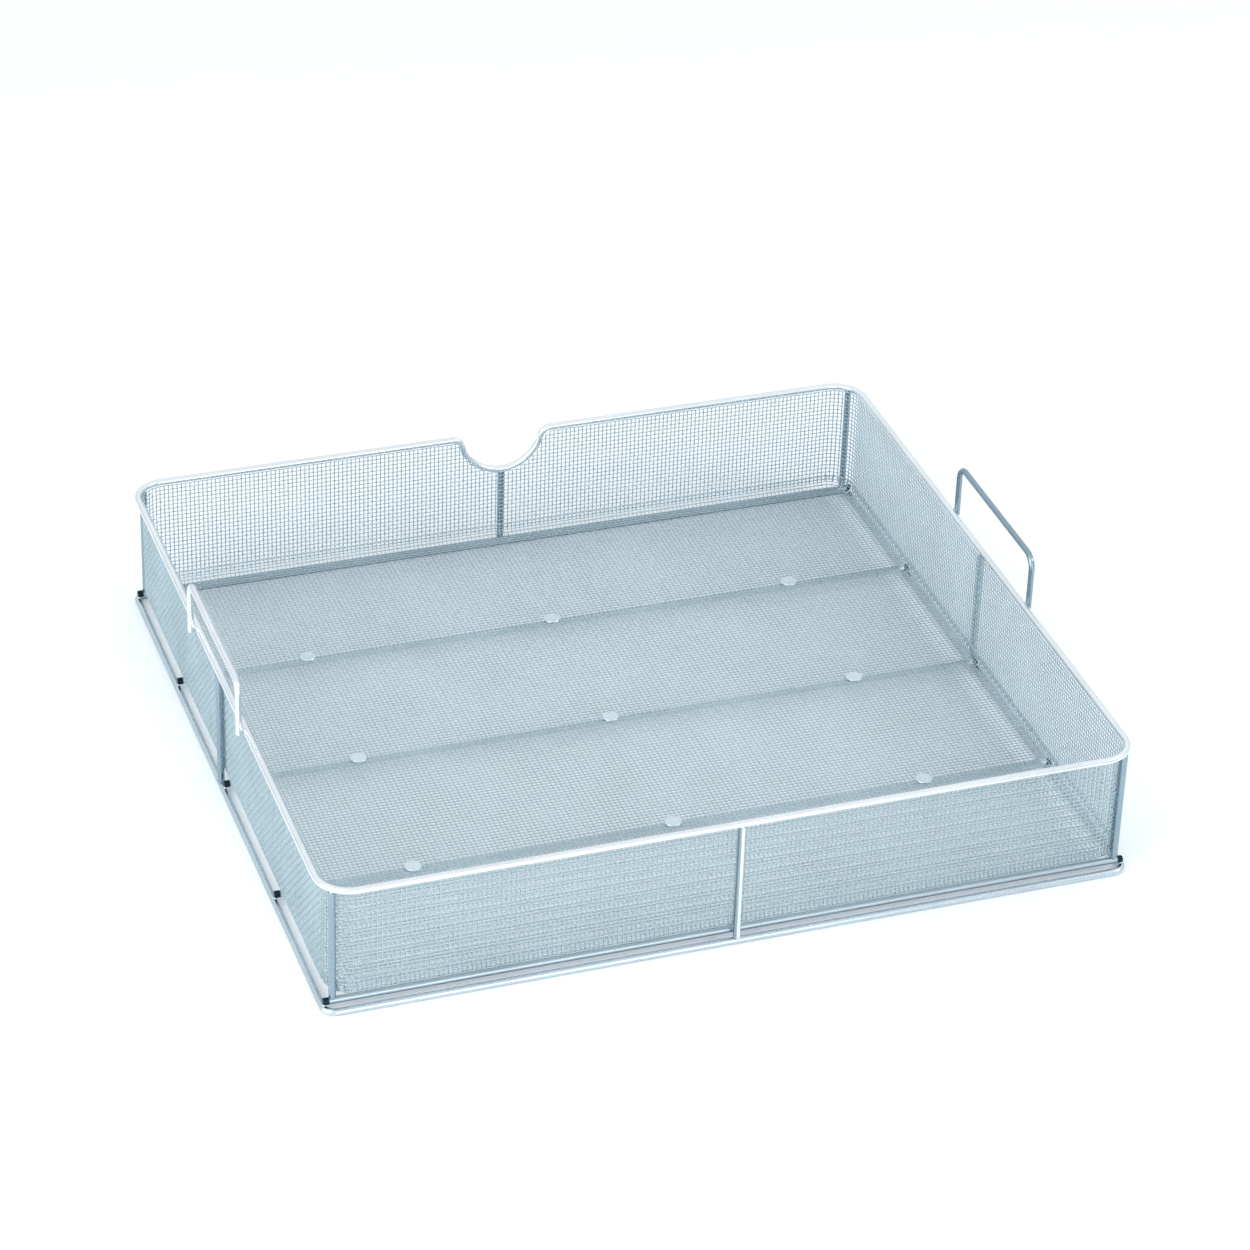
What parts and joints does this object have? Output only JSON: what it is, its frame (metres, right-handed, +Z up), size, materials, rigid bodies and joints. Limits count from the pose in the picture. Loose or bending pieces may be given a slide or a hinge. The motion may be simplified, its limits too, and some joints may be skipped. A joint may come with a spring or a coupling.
{
  "type": "wire mesh strainer basket",
  "caption": "Shallow rectangular basket of bright steel wire lined with fine woven steel cloth, with raised wire handles and a pouring notch in the back rim.",
  "frame": {"origin": "on the ground under the middle of the basket", "axes": "+X along the long sides, to the right seen from the front; +Y to the back, where the rim dips; +Z up"},
  "size_m": [0.4672, 0.43, 0.11],
  "materials": {
    "wire": "bright, electropolished",
    "cloth": "fine woven cloth, satin",
    "weld": "flat pressed weld, satin"
  },
  "bodies": {
    "root": {"top_rim": "wire", "base_rim": "wire", "front_edge_rod": "wire", "front_rod": "wire", "middle_rod": "wire", "back_rod": "wire", "back_edge_rod": "wire", "corner_post_front_left": "wire", "corner_post_front_right": "wire", "corner_post_back_left": "wire", "corner_post_back_right": "wire", "mid_post_front": "wire", "mid_post_back": "wire", "mid_post_left": "wire", "mid_post_right": "wire", "handle_left": "wire", "handle_right": "wire", "wall_mesh": "cloth", "floor_mesh": "cloth", "weld_spots": "weld"}
  },
  "joints": []
}
